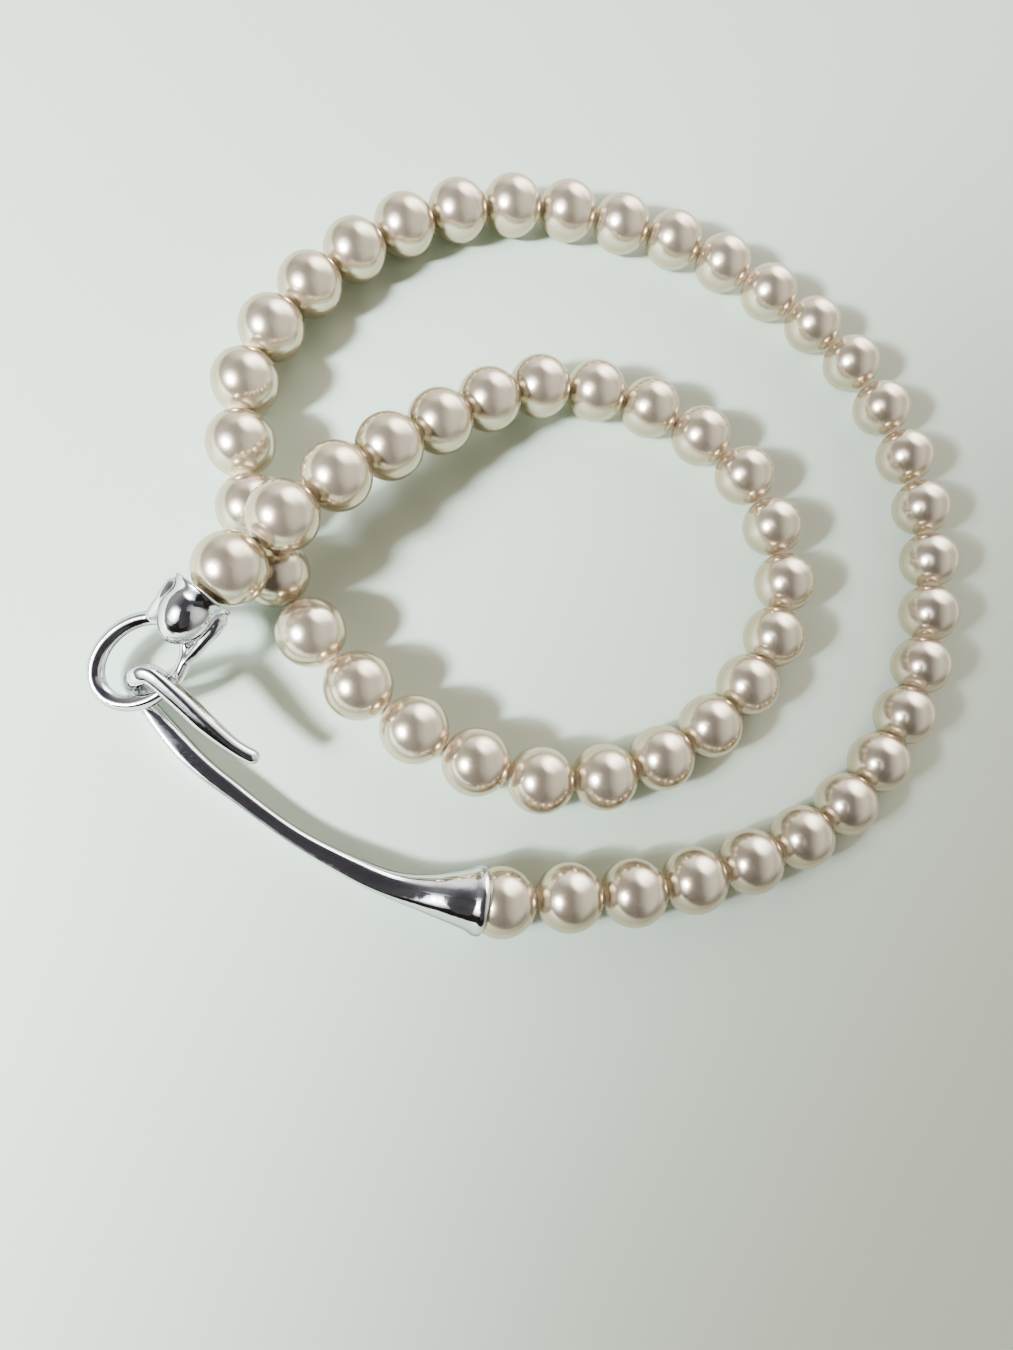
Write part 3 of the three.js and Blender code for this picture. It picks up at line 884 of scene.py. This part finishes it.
beside_camera = camera.matrix_world @ Matrix.Translation(CARD_PLACE)
card("dark_card", CARD_WIDTH, CARD_HEIGHT, beside_camera, mirrored=True, shading=False)
before_lamp = Matrix.Translation(SHADE_PLACE) @ Matrix.Rotation(SHADE_TURN, 4, "Z")
card("shade_card", SHADE_SIZE, SHADE_SIZE, before_lamp, mirrored=False, shading=True)
print("cards: one to be mirrored, one to cast a shade")

# %% [markdown]
# ## The room
#
# What polished silver and nacre show is mostly the room, so the room is painted as broad soft
# areas of light and dark: a dim ceiling, darkest straight up, a pale far wall, a bright glow in it
# that gives the pearls' crescents, a duller wall on the right, a dark near side, and the window's
# shine on the left. An image wrapped round the scene would do it too, but it is one more file to
# keep, and its details would show in every pearl. Each area is a mask made from directions in the
# world, so it stays where it is from wherever the necklace is seen. Dull surfaces get less of the
# room than shiny ones, and warmer, so the shadows stay deep and warm. The camera sees only a plain
# pale backdrop.

# %% Masks over the room
world = bpy.data.worlds.new("room")
world.use_nodes = True
tree = world.node_tree
coordinates = add_node(tree, "ShaderNodeTexCoord")
OVERHEAD = (0, -90)


def towards(heading, drop, stops):
    """A mask over the room: a ramp over how nearly a direction points a given way."""
    nearness = add_node(tree, "ShaderNodeVectorMath", operation="DOT_PRODUCT")
    tree.links.new(coordinates.outputs["Generated"], nearness.inputs[0])
    nearness.inputs[1].default_value = pointing(heading, drop)
    return ramp(tree, nearness.outputs["Value"], stops)


ceiling = towards(*OVERHEAD, [
    (0.0, (0.34, 0.34, 0.33)), (0.45, (0.37, 0.37, 0.37)), (0.75, (0.19, 0.19, 0.2)),
    (0.9, (0.078, 0.072, 0.096)),
])
low = towards(*OVERHEAD, [(0.58, WHITE), (0.80, BLACK)])
raised = towards(*OVERHEAD, [(0.12, BLACK), (0.42, WHITE)])
ahead = towards(50, 0, [(0.15, BLACK), (0.55, WHITE)])
glow = towards(56, -36, [(0.83, BLACK), (0.96, WHITE)])
right_front = towards(-8, -36, [(0.5, BLACK), (0.92, WHITE)])
near_side = towards(-112, -12, [(0.68, BLACK), (0.9, WHITE)])
window = towards(198, -37, [(0.88, BLACK), (0.94, grey(0.22)), (0.975, WHITE)])

# %% The room's light
FAR_WALL_LIGHT = (1.9, 1.92, 1.88)
GLOW_LIGHT = (10.8, 10.8, 10.5)
RIGHT_WALL_LIGHT = (1.15, 1.14, 1.1)
NEAR_SIDE_LIGHT = (0.02, 0.015, 0.012)
WINDOW_LIGHT = (7.6, 7.9, 8.6)
SHARE_FOR_DULL = (0.48, 0.32, 0.23)
BACKDROP = (0.78, 0.82, 0.80)
far_wall = multiply_colours(tree, low, ahead)
right_wall = multiply_colours(tree, right_front, raised)
room = ceiling
for area, light in [
    (far_wall, FAR_WALL_LIGHT), (glow, GLOW_LIGHT), (right_wall, RIGHT_WALL_LIGHT),
    (near_side, NEAR_SIDE_LIGHT), (window, WINDOW_LIGHT),
]:
    room = blend_colours(tree, area, room, light)
rays = add_node(tree, "ShaderNodeLightPath")
dimmed = multiply_colours(tree, room, SHARE_FOR_DULL)
felt = blend_colours(tree, rays.outputs["Is Diffuse Ray"], room, dimmed)
seen = blend_colours(tree, rays.outputs["Is Camera Ray"], felt, BACKDROP)
tree.links.new(seen, tree.nodes["Background"].inputs["Color"])
tree.nodes["Background"].inputs["Strength"].default_value = 1.0
bpy.context.scene.world = world
print("room:", len(tree.nodes), "nodes")
